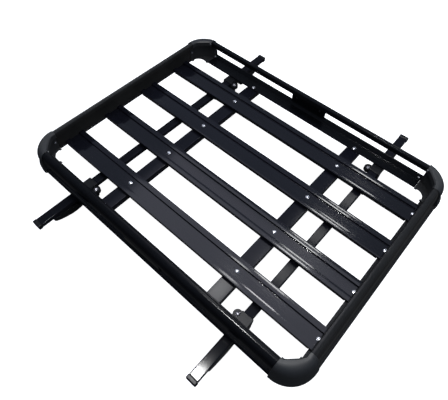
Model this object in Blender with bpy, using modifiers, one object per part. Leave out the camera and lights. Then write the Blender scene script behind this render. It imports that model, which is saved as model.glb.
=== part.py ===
"""Roof cargo basket: slatted deck, double side rails, roof bars and clamp feet.

Metres, +Z up. The origin is on the ground below the middle of the basket. The slats run along X
and the roof bars along Y. Section heights are measured from the top of the slats, DECK_TOP.
"""

import math

import bmesh
import bpy
from mathutils import Matrix, Vector

# Driving dimensions
PITCH = 0.188                 # slat to slat
DECK_TOP = 0.082              # top of the slats above the ground
INNER_HALF_LENGTH = 0.558     # middle to the inner top edge of an end rail
INNER_HALF_WIDTH = 0.418      # middle to the inner top edge of a side rail
MEMBER_X = 0.250              # middle to a cross member
BAR_X = 0.362                 # middle to a roof bar
BAR_HALF_LENGTH = 0.605       # middle to the tip of a bar's end cap
FOOT_Y = 0.376                # middle to a foot's clamp screw
GAP = 0.0003                  # between touching pieces

# Slat: a hat section
SLAT_HALF_WIDTH = 0.041
SLAT_DEPTH = 0.015
SLAT_WALL = 0.002
RIDGE_WIDTH = 0.020
CHANNEL_DEPTH = 0.007
SLAT_HALF_LENGTH = INNER_HALF_LENGTH + 0.015
SLAT_FLANGE_SHORT = 0.002     # a slat's side flanges stop this far before the end ledge

# Rails, outwards from the inner top edge
RAIL_TOP = 0.076
NOSE_CENTRE = (0.008, 0.046)
NOSE_RADII = (0.022, 0.030)
RAIL_WALL = 0.0022
SIDE_OUTER = 0.035
END_OUTER = 0.044
END_WALL = 0.016
SIDE_FLANGE = 0.026
LEDGE_TOP = -0.0095
LEDGE_THICKNESS = 0.003
LEDGE_EDGE = {1: -0.008, -1: 0.008}   # inner edge of the ledge at the front and at the rear
PLATE_HALF_LENGTH = 0.079

# Corner caps
SEAM_X = 0.508
SEAM_Y = 0.352
CORNER_RADIUS = 0.050
CORNER_FULLNESS = 0.010       # extra width inwards at the middle of a corner
CAP_PROUD = 0.002
CAP_BULGE = 0.003             # how much further a cap stands out at its widest
CAP_WALL = 0.014
SPIGOT_LENGTH = 0.030
CORNER_STEPS = 8

# Cross members and roof bars
MEMBER_HALF_WIDTH = 0.0265
MEMBER_DEPTH = 0.025
MEMBER_HALF_LENGTH = INNER_HALF_WIDTH + 0.010
BAR_HALF_WIDTH = 0.0165
BAR_HALF_DEPTH = 0.009
BAR_DROP = 0.030              # top of the slats down to the middle of a bar
BAR_WALL = 0.002
BAR_CAP_LENGTH = 0.015
BAR_MIDDLE_Z = DECK_TOP - BAR_DROP

# Fasteners
BOLT_RADIUS = 0.003
BOLT_HOLE_RADIUS = 0.0035
BOLT_HEAD_RADIUS = 0.007
BOLT_HEAD_HEIGHT = 0.004
FLANGE_BOLT_Y = INNER_HALF_WIDTH - 0.015

# Clamp feet: q runs outwards along the bar from the screw, z from the bar's middle
SLEEVE_HALF_WIDTH = 0.0208
BAR_CLEARANCE = 0.0004
SCREW_SIDE = 0.0268
SCREW_RECESS = 0.0095
EAR_RADIUS = 0.016
EAR_TOP = 0.0
EAR_DEPTH = 0.012
SCREW_BORE = 0.0037
PIN_Q, PIN_Z = 0.096, -0.0215
PIN_RADIUS = 0.003
PIN_BORE = 0.00335
JAW_HALF_WIDTH = 0.017
TONGUE_HALF_WIDTH = 0.006
FORK_HALF_WIDTH = 0.0065

# Colour, roughness, metallic
BLACK_POWDER_COAT = ((0.020, 0.021, 0.025), 0.32, 0.0)
CAP_PLASTIC = ((0.050, 0.052, 0.053), 0.62, 0.0)
FOOT_PLASTIC = ((0.018, 0.018, 0.019), 0.55, 0.0)
RUBBER = ((0.012, 0.012, 0.012), 0.90, 0.0)
BRIGHT_STEEL = ((0.62, 0.62, 0.63), 0.28, 1.0)
DARK_STEEL = ((0.09, 0.09, 0.10), 0.42, 1.0)


def clear_scene():
    for obj in list(bpy.data.objects):
        bpy.data.objects.remove(obj, do_unlink=True)


def new_collection(name):
    collection = bpy.data.collections.new(name)
    bpy.context.scene.collection.children.link(collection)
    return collection


def new_material(name, look):
    colour, roughness, metallic = look
    material = bpy.data.materials.new(name)
    material.use_nodes = True
    shader = material.node_tree.nodes["Principled BSDF"]
    shader.inputs["Base Color"].default_value = (*colour, 1.0)
    shader.inputs["Roughness"].default_value = roughness
    shader.inputs["Metallic"].default_value = metallic
    return material


def add_object(name, mesh, collection, look=None):
    obj = bpy.data.objects.new(name, mesh)
    collection.objects.link(obj)
    if look:
        mesh.materials.clear()
        mesh.materials.append(new_material(name, look))
    else:
        obj.hide_render = True
        obj.display_type = "WIRE"
    return obj


def extruded_mesh(name, outlines, length):
    """A closed mesh of a 2D outline, with any further outlines as holes, centred along Z."""
    curve = bpy.data.curves.new(name, "CURVE")
    curve.dimensions = "2D"
    curve.fill_mode = "BOTH"
    curve.extrude = length / 2
    for outline in outlines:
        spline = curve.splines.new("POLY")
        spline.points.add(len(outline) - 1)
        for point, (x, y) in zip(spline.points, outline):
            point.co = (x, y, 0, 1)
        spline.use_cyclic_u = True
    guide = bpy.data.objects.new(name, curve)
    bpy.context.scene.collection.objects.link(guide)
    graph = bpy.context.evaluated_depsgraph_get()
    mesh = bpy.data.meshes.new_from_object(guide.evaluated_get(graph))
    bpy.data.objects.remove(guide, do_unlink=True)
    weld(mesh)
    return mesh


def weld(mesh):
    work = bmesh.new()
    work.from_mesh(mesh)
    bmesh.ops.remove_doubles(work, verts=work.verts, dist=0.00001)
    bmesh.ops.recalc_face_normals(work, faces=work.faces)
    work.to_mesh(mesh)
    work.free()


def box_mesh(name, low, high):
    work = bmesh.new()
    low, high = Vector(low), Vector(high)
    matrix = Matrix.Translation((low + high) / 2) @ Matrix.Diagonal((*(high - low), 1))
    bmesh.ops.create_cube(work, size=1, matrix=matrix)
    return finished(work, name)


def cylinder_mesh(name, radius, bottom, top, sides=16):
    work = bmesh.new()
    matrix = Matrix.Translation((0, 0, (bottom + top) / 2))
    bmesh.ops.create_cone(work, cap_ends=True, segments=sides, radius1=radius, radius2=radius,
                          depth=top - bottom, matrix=matrix)
    return finished(work, name)


def finished(work, name):
    mesh = bpy.data.meshes.new(name)
    work.to_mesh(mesh)
    work.free()
    return mesh


def arc(centre, radii, start, end, steps):
    """Points on an ellipse from one angle in degrees to another."""
    points = []
    for i in range(steps + 1):
        angle = math.radians(start + (end - start) * i / steps)
        points.append((centre[0] + radii[0] * math.cos(angle),
                       centre[1] + radii[1] * math.sin(angle)))
    return points


def boolean(obj, cutter, operation="DIFFERENCE"):
    modifier = obj.modifiers.new(cutter.name, "BOOLEAN")
    modifier.operation = operation
    modifier.solver = "EXACT"
    modifier.object = cutter


def smooth(obj, degrees=35):
    obj.data.shade_smooth()
    obj.data.set_sharp_from_angle(angle=math.radians(degrees))


def stand_section(obj, heading, offset):
    """Turns a section drawn in XY to face outwards along heading, its Y up, and moves it there."""
    obj.rotation_euler = (math.pi / 2, 0, heading)
    obj.location = (math.cos(heading) * offset, math.sin(heading) * offset, DECK_TOP)


# Sections, as (outwards, up) from the inner top edge and the top of the slats

def nose(shrink=0.0, proud=0.0, bulge=0.0, steps=7):
    """The quarter-round outer top of a rail."""
    grow = proud - shrink
    return arc(NOSE_CENTRE, (NOSE_RADII[0] + grow + bulge, NOSE_RADII[1] + grow), 90, 0, steps)


def upper_rail_section():
    outside = [(0, 0.0555), (0, 0.0725), (0.003, 0.0755)]
    outside += nose() + [(0.0295, 0.0430), (0.0260, 0.0405), (0.003, 0.0520)]
    return [outside, upper_hollow(RAIL_WALL)]


def upper_hollow(inset):
    wall = inset
    return [(wall, 0.0565), (wall, 0.0705)] + nose(shrink=wall) + [
        (0.0275 - wall, 0.0410 + wall), (wall + 0.002, 0.0533 + wall / 2)]


def lower_rail_section():
    bottom, flange_top = -SLAT_DEPTH, -SLAT_DEPTH + 0.003
    outside = [(-SIDE_FLANGE, bottom), (-SIDE_FLANGE, flange_top), (0.014, flange_top),
               (0.027, 0.0020), (0.0295, 0.0030), (0.0325, 0.0010), (SIDE_OUTER, -0.004),
               (SIDE_OUTER, -0.009), (0.0335, -0.013), (0.031, bottom)]
    hollow = [(0.0175, -0.0125), (0.0280, -0.0012), (0.0298, 0.0), (0.0310, -0.0008),
              (0.0326, -0.0046), (0.0326, -0.0086), (0.0316, -0.0125)]
    return [outside, hollow]


def end_rail_section(ledge_edge):
    ledge_bottom = LEDGE_TOP - LEDGE_THICKNESS
    outside = [(ledge_edge, ledge_bottom), (ledge_edge, LEDGE_TOP), (END_WALL, LEDGE_TOP),
               (END_WALL, 0.045), (0, 0.0555), (0, 0.0725), (0.003, 0.0755)]
    outside += nose() + [(0.036, 0.015), (0.0335, 0.0115), (0.0335, 0.0075), (0.042, 0.004),
                         (END_OUTER, 0), (END_OUTER, -0.010), (0.0415, ledge_bottom)]
    return [outside, end_hollow(0.0025)]


def end_hollow(inset):
    wall = inset
    floor = wall - 0.0123
    return [(END_WALL + wall, floor), (END_WALL + wall, 0.0455), (wall, 0.0567),
            (wall, 0.071)] + nose(shrink=wall) + [
                (0.0355 - wall, 0.017), (0.0335 - wall, 0.013), (0.0335 - wall, 0.006),
                (0.0425 - wall, 0.0005), (0.0425 - wall, floor)]


def centre_plate_section():
    return [[(0.022, -0.0027), (0.027, 0.0027), (0.0292, 0.0034), (0.030, 0.0034),
             (0.030, 0.0400), (0.026, 0.0401), (0.022, 0.0421)]]


def cap_section(turn):
    """The corner cap's section, proud of the rails all round and open towards the deck.

    turn goes from 0 at the side rail to 1 at the end rail.
    """
    side_lip, end_lip = SIDE_OUTER + CAP_PROUD + CAP_BULGE, END_OUTER + CAP_PROUD
    lip = side_lip + (end_lip - side_lip) * turn
    section = [(CAP_WALL, -SLAT_DEPTH), (CAP_WALL, 0.047), (-CAP_PROUD, 0.056),
               (-CAP_PROUD, 0.0735), (0.0015, RAIL_TOP + CAP_PROUD - 0.0006)]
    section += nose(proud=CAP_PROUD, bulge=CAP_BULGE)
    section += [(0.0365 + 0.001 * turn, 0.028), (lip, 0.006), (lip, -0.010),
                (lip - 0.0025, -0.0135), (lip - 0.006, -SLAT_DEPTH)]
    fullness = CORNER_FULLNESS * math.sin(math.pi * turn)
    widest = max(out for out, up in section)
    return [(out - fullness * (1 - max(out, 0) / widest), up) for out, up in section]


def channel_section():
    """A slat across its width: two ridges, the sunk channel between them and the side flanges."""
    edge, wall, inner = SLAT_HALF_WIDTH, SLAT_WALL, SLAT_HALF_WIDTH - RIDGE_WIDTH
    floor = -CHANNEL_DEPTH
    right = [(inner - 0.0015, floor), (inner, -0.001), (inner + 0.001, 0), (edge - 0.0015, 0),
             (edge, -0.0015), (edge, -SLAT_DEPTH), (edge - wall, -SLAT_DEPTH),
             (edge - wall, -wall), (inner + wall, -wall), (inner + 0.0005, floor - wall)]
    left = [(-y, z) for y, z in reversed(right)]
    return [right + left]


def box_section(half_width, half_depth, wall, chamfer):
    def ring(w, d, c):
        return [(w, d - c), (w - c, d), (c - w, d), (-w, d - c),
                (-w, c - d), (c - w, -d), (w - c, -d), (w, c - d)]
    return [ring(half_width, half_depth, chamfer),
            ring(half_width - wall, half_depth - wall, chamfer / 2)]


# Pieces of the deck and rails

def side_rails(part):
    for side, heading in (("left", math.pi / 2), ("right", -math.pi / 2)):
        length = 2 * (SEAM_X - GAP)
        for name, section in (("upper", upper_rail_section()), ("lower", lower_rail_section())):
            rail = add_object(f"{name}_side_rail_{side}",
                              extruded_mesh(name, section, length), part, BLACK_POWDER_COAT)
            stand_section(rail, heading, INNER_HALF_WIDTH)
            smooth(rail)
        plate = add_object(f"centre_plate_{side}", extruded_mesh(
            "plate", centre_plate_section(), 2 * PLATE_HALF_LENGTH), part, BLACK_POWDER_COAT)
        stand_section(plate, heading, INNER_HALF_WIDTH)


def end_rails(part):
    for end, heading in (("front", 0), ("rear", math.pi)):
        rail = add_object(f"end_rail_{end}", extruded_mesh(
            "end_rail", end_rail_section(LEDGE_EDGE[1 if end == "front" else -1]),
            2 * (SEAM_Y - GAP)), part, BLACK_POWDER_COAT)
        stand_section(rail, heading, INNER_HALF_LENGTH)
        smooth(rail)


def corner_sweep_mesh():
    """The cap's section run from the side seam, round the corner and on to the end seam."""
    centre = Vector((INNER_HALF_LENGTH - CORNER_RADIUS, INNER_HALF_WIDTH - CORNER_RADIUS, 0))
    places = []
    for i in range(CORNER_STEPS + 1):
        turn = i / CORNER_STEPS
        angle = math.pi / 2 * (1 - turn)
        out = Vector((math.cos(angle), math.sin(angle), 0))
        places.append((centre + out * CORNER_RADIUS, out, turn))
    places.append((Vector((INNER_HALF_LENGTH, SEAM_Y, 0)), Vector((1, 0, 0)), 1))
    work = bmesh.new()
    rings = [[work.verts.new(origin + out * across + Vector((0, 0, up)))
              for across, up in cap_section(turn)] for origin, out, turn in places]
    for ring, following in zip(rings, rings[1:]):
        for i in range(len(ring)):
            work.faces.new((ring[i - 1], ring[i], following[i], following[i - 1]))
    work.faces.new(rings[0])
    work.faces.new(rings[-1])
    bmesh.ops.recalc_face_normals(work, faces=work.faces)
    return finished(work, "corner_cap")


def corner_ledge_outline(ledge_edge):
    """The plate under a corner, with a quarter-round inner edge between two small tabs."""
    side_edge = INNER_HALF_WIDTH - SIDE_FLANGE
    end_edge = INNER_HALF_LENGTH + ledge_edge
    round_centre = (end_edge - 0.030, side_edge - 0.030)
    tab, overlap = 0.004, CAP_WALL + 0.004
    outline = [(SEAM_X, side_edge - tab), (SEAM_X + 0.010, side_edge - tab),
               (SEAM_X + 0.010, side_edge)]
    outline += arc(round_centre, (0.030, 0.030), 90, 0, 6)
    outline += [(end_edge, SEAM_Y + 0.008), (end_edge - tab, SEAM_Y + 0.008),
                (end_edge - tab, SEAM_Y), (INNER_HALF_LENGTH + overlap, SEAM_Y)]
    corner_centre = (INNER_HALF_LENGTH - CORNER_RADIUS, INNER_HALF_WIDTH - CORNER_RADIUS)
    outline += arc(corner_centre, (CORNER_RADIUS + overlap, CORNER_RADIUS + overlap), 0, 90, 6)
    return outline


def corner_pattern(cutters, end, ledge_edge):
    """A whole cap for the +X +Y corner, with the ledge of the front or the rear."""
    ledge = add_object(f"{end}_ledge_tool", extruded_mesh(
        "ledge_tool", [corner_ledge_outline(ledge_edge)], LEDGE_THICKNESS), cutters)
    ledge.location.z = -SLAT_DEPTH + LEDGE_THICKNESS / 2
    side_spigot = add_object(f"{end}_side_spigot_tool", extruded_mesh(
        "side_spigot_tool", [upper_hollow(0.0032)], SPIGOT_LENGTH + 0.010), cutters)
    side_spigot.rotation_euler = (math.pi / 2, 0, math.pi / 2)
    side_spigot.location = (SEAM_X + 0.005 - SPIGOT_LENGTH / 2, INNER_HALF_WIDTH, 0)
    end_spigot = add_object(f"{end}_end_spigot_tool", extruded_mesh(
        "end_spigot_tool", [end_hollow(0.0035)], SPIGOT_LENGTH + 0.010), cutters)
    end_spigot.rotation_euler = (math.pi / 2, 0, 0)
    end_spigot.location = (INNER_HALF_LENGTH, SEAM_Y + 0.005 - SPIGOT_LENGTH / 2, 0)
    pattern = add_object(f"{end}_corner_pattern", corner_sweep_mesh(), cutters)
    for tool in (ledge, side_spigot, end_spigot):
        boolean(pattern, tool, "UNION")
    return pattern


def corner_caps(part, cutters):
    """The caps are modelled for the +X +Y corner and mirrored to the others."""
    for end, x in (("front", 1), ("rear", -1)):
        pattern = corner_pattern(cutters, end, LEDGE_EDGE[x])
        graph = bpy.context.evaluated_depsgraph_get()
        for side, y in (("left", 1), ("right", -1)):
            mesh = bpy.data.meshes.new_from_object(pattern.evaluated_get(graph))
            mesh.transform(Matrix.Diagonal((x, y, 1, 1)))
            weld(mesh)
            cap = add_object(f"corner_cap_{end}_{side}", mesh, part, CAP_PLASTIC)
            cap.location.z = DECK_TOP
            smooth(cap)


def bolt_hole(cutters, name, x, y, top):
    hole = add_object(name, cylinder_mesh(name, BOLT_HOLE_RADIUS, -0.006, 0.004, 12), cutters)
    hole.location = (x, y, top)
    return hole


def slats(part, cutters):
    """Four slats, with their side flanges cut away where the ends rest on the end ledges."""
    for number in range(4):
        y = (number - 1.5) * PITCH
        mesh = extruded_mesh("slat", channel_section(), 2 * SLAT_HALF_LENGTH)
        slat = add_object(f"slat_{number + 1}", mesh, part, BLACK_POWDER_COAT)
        slat.rotation_euler = (math.pi / 2, 0, math.pi / 2)
        slat.location = (0, y, DECK_TOP)
        for x in (-1, 1):
            flange_end = INNER_HALF_LENGTH + LEDGE_EDGE[x] - SLAT_FLANGE_SHORT
            tool = add_object(f"slat_{number + 1}_end_tool_{x}", box_mesh(
                "end_tool", (flange_end, y - 0.05, -0.02),
                (SLAT_HALF_LENGTH + 0.01, y + 0.05, LEDGE_TOP + GAP)), cutters)
            tool.data.transform(Matrix.Scale(x, 4, (1, 0, 0)))
            weld(tool.data)
            tool.location.z = DECK_TOP
            boolean(slat, tool)
            boolean(slat, bolt_hole(cutters, f"slat_{number + 1}_hole_{x}", x * MEMBER_X, y,
                                    DECK_TOP - CHANNEL_DEPTH))
        smooth(slat)


def cross_members(part, cutters):
    for end, x in (("front", MEMBER_X), ("rear", -MEMBER_X)):
        section = box_section(MEMBER_HALF_WIDTH, MEMBER_DEPTH / 2, 0.0025, 0.002)
        member = add_object(f"cross_member_{end}", extruded_mesh(
            "cross_member", section, 2 * MEMBER_HALF_LENGTH), part, BLACK_POWDER_COAT)
        top = DECK_TOP - SLAT_DEPTH - GAP
        member.rotation_euler = (math.pi / 2, 0, 0)
        member.location = (x, 0, top - MEMBER_DEPTH / 2)
        places = [(number - 1.5) * PITCH for number in range(4)] + [FLANGE_BOLT_Y, -FLANGE_BOLT_Y]
        for number, y in enumerate(places):
            boolean(member, bolt_hole(cutters, f"member_{end}_hole_{number}", x, y, top))


def bolt_mesh(length):
    """A domed head with its underside at z = 0 and a plain shank below it."""
    profile = [(0, BOLT_HEAD_HEIGHT)]
    profile += arc((0, 0.001), (BOLT_HEAD_RADIUS, BOLT_HEAD_HEIGHT - 0.001), 60, 0, 3)
    profile += [(BOLT_HEAD_RADIUS, 0), (BOLT_RADIUS, 0), (BOLT_RADIUS, -length), (0, -length)]
    return turned_mesh("bolt", profile, 12)


def turned_mesh(name, profile, steps):
    """A profile of (radius, height) points, top to bottom, turned about Z by a Screw modifier."""
    mesh = bpy.data.meshes.new(name)
    mesh.from_pydata([(r, 0, z) for r, z in profile],
                     [(i, i + 1) for i in range(len(profile) - 1)], [])
    guide = bpy.data.objects.new(name, mesh)
    bpy.context.scene.collection.objects.link(guide)
    screw = guide.modifiers.new("turn", "SCREW")
    screw.steps = screw.render_steps = steps
    screw.use_merge_vertices = True
    screw.merge_threshold = 0.00001
    graph = bpy.context.evaluated_depsgraph_get()
    turned = bpy.data.meshes.new_from_object(guide.evaluated_get(graph))
    bpy.data.objects.remove(guide, do_unlink=True)
    weld(turned)
    return turned


def deck_bolts(part, cutters):
    """Bolts through the slats and through the side flanges into the cross members."""
    for end, x in (("front", MEMBER_X), ("rear", -MEMBER_X)):
        for number in range(4):
            bolt = add_object(f"slat_bolt_{end}_{number + 1}", bolt_mesh(0.014), part, BRIGHT_STEEL)
            bolt.location = (x, (number - 1.5) * PITCH, DECK_TOP - CHANNEL_DEPTH + GAP)
            smooth(bolt)
        for side, y in (("left", FLANGE_BOLT_Y), ("right", -FLANGE_BOLT_Y)):
            bolt = add_object(f"rail_bolt_{end}_{side}", bolt_mesh(0.010), part, BRIGHT_STEEL)
            flange_top = DECK_TOP - SLAT_DEPTH + 0.003
            bolt.location = (x, y, flange_top + GAP)
            smooth(bolt)
            rail = bpy.data.objects[f"lower_side_rail_{side}"]
            boolean(rail, bolt_hole(cutters, f"rail_hole_{end}_{side}", x, y, flange_top))


# Roof bars

def roof_bars(part, cutters):
    for end, x in (("front", BAR_X), ("rear", -BAR_X)):
        section = box_section(BAR_HALF_WIDTH, BAR_HALF_DEPTH, BAR_WALL, 0.003)
        bar = add_object(f"roof_bar_{end}", extruded_mesh(
            "roof_bar", section, 2 * (BAR_HALF_LENGTH - BAR_CAP_LENGTH - GAP)),
            part, BLACK_POWDER_COAT)
        bar.rotation_euler = (math.pi / 2, 0, 0)
        bar.location = (x, 0, BAR_MIDDLE_Z)
        smooth(bar)
        for side, y in (("left", 1), ("right", -1)):
            bar_end_cap(part, cutters, f"bar_cap_{end}_{side}", x, y)
            bar_clamp(part, f"bar_clamp_{end}_{side}", x, y)


def bar_end_cap(part, cutters, name, x, y):
    """A moulded cap a little larger than the bar, with a plug that fits inside it."""
    start = BAR_HALF_LENGTH - BAR_CAP_LENGTH
    cap = add_object(name, box_mesh(name, (-0.0180, start, -0.0108),
                                    (0.0180, BAR_HALF_LENGTH, 0.0108)), part, FOOT_PLASTIC)
    bevel = cap.modifiers.new("rounded", "BEVEL")
    bevel.width = 0.004
    bevel.segments = 3
    plug = add_object(f"{name}_plug_tool", box_mesh(
        "plug", (-0.0135, start - 0.012, -0.0060), (0.0135, start + 0.005, 0.0060)), cutters)
    plug.parent = cap
    boolean(cap, plug, "UNION")
    cap.location = (x, 0, BAR_MIDDLE_Z)
    cap.rotation_euler.z = 0 if y > 0 else math.pi
    smooth(cap)


def bar_clamp(part, name, x, y):
    """A ring round the bar whose top carries the outer slat's flanges."""
    top = BAR_DROP - SLAT_DEPTH - GAP
    ring = [(0.0225, top), (-0.0225, top), (-0.0225, -0.0115), (-0.0195, -0.0145),
            (0.0195, -0.0145), (0.0225, -0.0115)]
    width, depth = BAR_HALF_WIDTH + GAP, BAR_HALF_DEPTH + GAP
    hole = [(width, depth), (-width, depth), (-width, -depth), (width, -depth)]
    clamp = add_object(name, extruded_mesh(name, [ring, hole], 0.040), part, FOOT_PLASTIC)
    clamp.rotation_euler = (math.pi / 2, 0, 0)
    clamp.location = (x, y * 1.5 * PITCH, BAR_MIDDLE_Z)


# Clamp feet, in the foot's own frame: X across the bar, Y outwards, Z from the bar's middle

def side_profile_mesh(name, outline, half_width):
    """An outline in (outwards, up), extruded across the bar."""
    mesh = extruded_mesh(name, [outline], 2 * half_width)
    mesh.transform(Matrix(((0, 0, 1, 0), (1, 0, 0, 0), (0, 1, 0, 0), (0, 0, 0, 1))))
    return mesh


def sleeve_outline():
    """The sleeve round the bar, with the fixed claw that reaches down inside the roof rail."""
    ground = -BAR_MIDDLE_Z
    return [(-0.016, 0.0110), (-0.014, 0.0130), (0.070, 0.0130), (0.070, -0.0130),
            (0.020, -0.0130), (0.0175, -0.0185), (0.016, ground + 0.003), (0.013, ground),
            (-0.004, ground), (-0.008, ground + 0.004), (-0.013, -0.0185), (-0.016, -0.0115)]


def tongue_outline():
    return [(0.067, -0.0120), (0.103, -0.0130), (0.1035, -0.0215), (0.100, -0.0275),
            (0.092, -0.0275), (0.080, -0.0205), (0.067, -0.0205)]


def jaw_outline():
    """A boat-shaped rocker: its outer end lies under the bar and its inner end is the hook."""
    return [(0.084, -0.0175), (0.090, -0.0120), (0.166, -0.0110), (0.172, -0.0140),
            (0.173, -0.0190), (0.166, -0.0265), (0.150, -0.0340), (0.130, -0.0405),
            (0.109, -0.0455), (0.090, -0.0470), (0.072, -0.0455), (0.060, -0.0425),
            (0.0545, -0.0390), (0.0555, -0.0350), (0.064, -0.0320), (0.078, -0.0275)]


def pin_tool(cutters, name, radius, foot):
    """A cylinder along the jaw's pin, in the foot's frame."""
    tool = add_object(name, cylinder_mesh(name, radius, -0.03, 0.03), cutters)
    tool.rotation_euler = (0, math.pi / 2, 0)
    tool.location = (0, PIN_Q, PIN_Z)
    tool.parent = foot
    return tool


def foot_tool(cutters, name, mesh, foot):
    tool = add_object(name, mesh, cutters)
    tool.parent = foot
    return tool


def foot_body(part, cutters, foot, label, hand):
    name = f"foot_body_{label}"
    body = add_object(name, side_profile_mesh(name, sleeve_outline(), SLEEVE_HALF_WIDTH),
                      part, FOOT_PLASTIC)
    body.parent = foot
    tongue = foot_tool(cutters, f"{name}_tongue_tool", side_profile_mesh(
        "tongue", tongue_outline(), TONGUE_HALF_WIDTH), foot)
    ear = foot_tool(cutters, f"{name}_ear_tool", cylinder_mesh(
        "ear", EAR_RADIUS, EAR_TOP - EAR_DEPTH, EAR_TOP, 24), foot)
    ear.location = (hand * SCREW_SIDE, 0, 0)
    channel = foot_tool(cutters, f"{name}_channel_tool", box_mesh(
        "channel", (-BAR_HALF_WIDTH - BAR_CLEARANCE, -0.05, -BAR_HALF_DEPTH - BAR_CLEARANCE),
        (BAR_HALF_WIDTH + BAR_CLEARANCE, 0.12, BAR_HALF_DEPTH + BAR_CLEARANCE)), foot)
    bore = foot_tool(cutters, f"{name}_bore_tool", cylinder_mesh("bore", SCREW_BORE, -0.03, 0.02),
                     foot)
    bore.location = (hand * SCREW_SIDE, 0, 0)
    recess = foot_tool(cutters, f"{name}_recess_tool", cylinder_mesh(
        "recess", SCREW_RECESS, EAR_TOP, 0.03, 24), foot)
    recess.location = (hand * SCREW_SIDE, 0, 0)
    boolean(body, tongue, "UNION")
    boolean(body, ear, "UNION")
    pin_hole = pin_tool(cutters, f"{name}_pin_tool", PIN_BORE, foot)
    for tool in (channel, bore, recess, pin_hole):
        boolean(body, tool)
    smooth(body)


def foot_pad(part, foot, label):
    """The rubber that rests on top of the vehicle's roof rail."""
    outline = [(0.024, -0.0133), (0.066, -0.0133), (0.0655, -0.0170), (0.063, -0.0180),
               (0.027, -0.0180), (0.0245, -0.0170)]
    name = f"foot_pad_{label}"
    pad = add_object(name, side_profile_mesh(name, outline, 0.017), part, RUBBER)
    pad.parent = foot


def clamp_jaw(part, cutters, foot, label):
    """The jaw, with its origin on the pin and a fork for the foot's tongue."""
    name = f"clamp_jaw_{label}"
    mesh = side_profile_mesh(name, jaw_outline(), JAW_HALF_WIDTH)
    mesh.transform(Matrix.Translation((0, -PIN_Q, -PIN_Z)))
    jaw = add_object(name, mesh, part, FOOT_PLASTIC)
    jaw.parent = foot
    jaw.location = (0, PIN_Q, PIN_Z)
    fork = foot_tool(cutters, f"{name}_fork_tool", box_mesh(
        "fork", (-FORK_HALF_WIDTH, 0.050, -0.0345), (FORK_HALF_WIDTH, 0.110, -0.0060)), foot)
    boolean(jaw, fork)
    boolean(jaw, pin_tool(cutters, f"{name}_pin_tool", PIN_BORE, foot))
    smooth(jaw, 25)


def jaw_pin(part, foot, label):
    name = f"jaw_pin_{label}"
    pin = add_object(name, cylinder_mesh(name, PIN_RADIUS, -0.0165, 0.0165, 12), part, DARK_STEEL)
    pin.rotation_euler = (0, math.pi / 2, 0)
    pin.location = (0, PIN_Q, PIN_Z)
    pin.parent = foot
    smooth(pin)


def clamp_screw(part, foot, label, hand):
    """A domed screw with a washer face that sits on the foot's ear."""
    profile = [(0, 0.0062)] + arc((0, 0.0022), (0.0076, 0.0040), 65, 0, 4)
    profile += [(0.0076, 0.0015), (0.0085, 0.0012), (0.0085, 0), (0.003, 0),
                (0.003, -0.024), (0.0022, -0.026), (0, -0.026)]
    name = f"clamp_screw_{label}"
    screw = add_object(name, turned_mesh(name, profile, 16), part, BRIGHT_STEEL)
    screw.location = (hand * SCREW_SIDE, 0, EAR_TOP + GAP)
    screw.parent = foot
    smooth(screw)


def clamp_feet(part, cutters):
    for end, x in (("front", 1), ("rear", -1)):
        for side, y in (("left", 1), ("right", -1)):
            label = f"{end}_{side}"
            foot = bpy.data.objects.new(f"foot_{label}", None)
            part.objects.link(foot)
            foot.location = (x * BAR_X, y * FOOT_Y, BAR_MIDDLE_Z)
            foot.rotation_euler.z = 0 if y > 0 else math.pi
            hand = -x * y
            foot_body(part, cutters, foot, label, hand)
            foot_pad(part, foot, label)
            clamp_jaw(part, cutters, foot, label)
            jaw_pin(part, foot, label)
            clamp_screw(part, foot, label, hand)


def main():
    clear_scene()
    part = new_collection("roof_cargo_basket")
    cutters = new_collection("cutters")
    side_rails(part)
    end_rails(part)
    corner_caps(part, cutters)
    slats(part, cutters)
    cross_members(part, cutters)
    deck_bolts(part, cutters)
    roof_bars(part, cutters)
    clamp_feet(part, cutters)


main()
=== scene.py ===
"""Roof cargo basket: the fine surfaces, materials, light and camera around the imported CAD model.

Metres, +Z up. The slats run along X and the roof bars along Y. A rail's section is drawn as
(outwards, up), outwards from the rail's inner top edge and up from the top of the slats.
"""

import math

import bmesh
import bpy
from mathutils import Matrix, Vector


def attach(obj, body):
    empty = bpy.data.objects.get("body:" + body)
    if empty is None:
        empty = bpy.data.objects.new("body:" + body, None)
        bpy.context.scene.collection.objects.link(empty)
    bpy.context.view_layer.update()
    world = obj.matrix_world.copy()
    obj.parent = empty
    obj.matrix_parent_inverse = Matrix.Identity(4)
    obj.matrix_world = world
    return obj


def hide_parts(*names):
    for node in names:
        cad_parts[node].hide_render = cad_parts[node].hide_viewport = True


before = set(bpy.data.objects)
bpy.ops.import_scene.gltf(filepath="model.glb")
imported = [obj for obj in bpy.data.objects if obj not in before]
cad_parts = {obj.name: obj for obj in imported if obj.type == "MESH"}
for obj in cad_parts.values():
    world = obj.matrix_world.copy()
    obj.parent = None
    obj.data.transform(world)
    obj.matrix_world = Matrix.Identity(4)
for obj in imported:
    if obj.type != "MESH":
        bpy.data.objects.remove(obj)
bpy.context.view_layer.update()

# The CAD model's driving dimensions
PITCH = 0.188                         # slat to slat
SLAT_COUNT = 4
DECK_TOP = 0.082                      # top of the slats above the ground
HALF_LENGTH = 0.558                   # middle to the inner top edge of an end rail
HALF_WIDTH = 0.418                    # middle to the inner top edge of a side rail
MEMBER_X = 0.250                      # middle to a cross member
BAR_X = 0.362                         # middle to a roof bar
BAR_TIP = 0.605                       # middle to the tip of a bar's end cap
BAR_DROP = 0.030                      # top of the slats down to the middle of a bar
BAR_Z = DECK_TOP - BAR_DROP
FOOT_Y = 0.376                        # middle to a foot's clamp screw
GAP = 0.0003                          # between touching pieces

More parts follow.
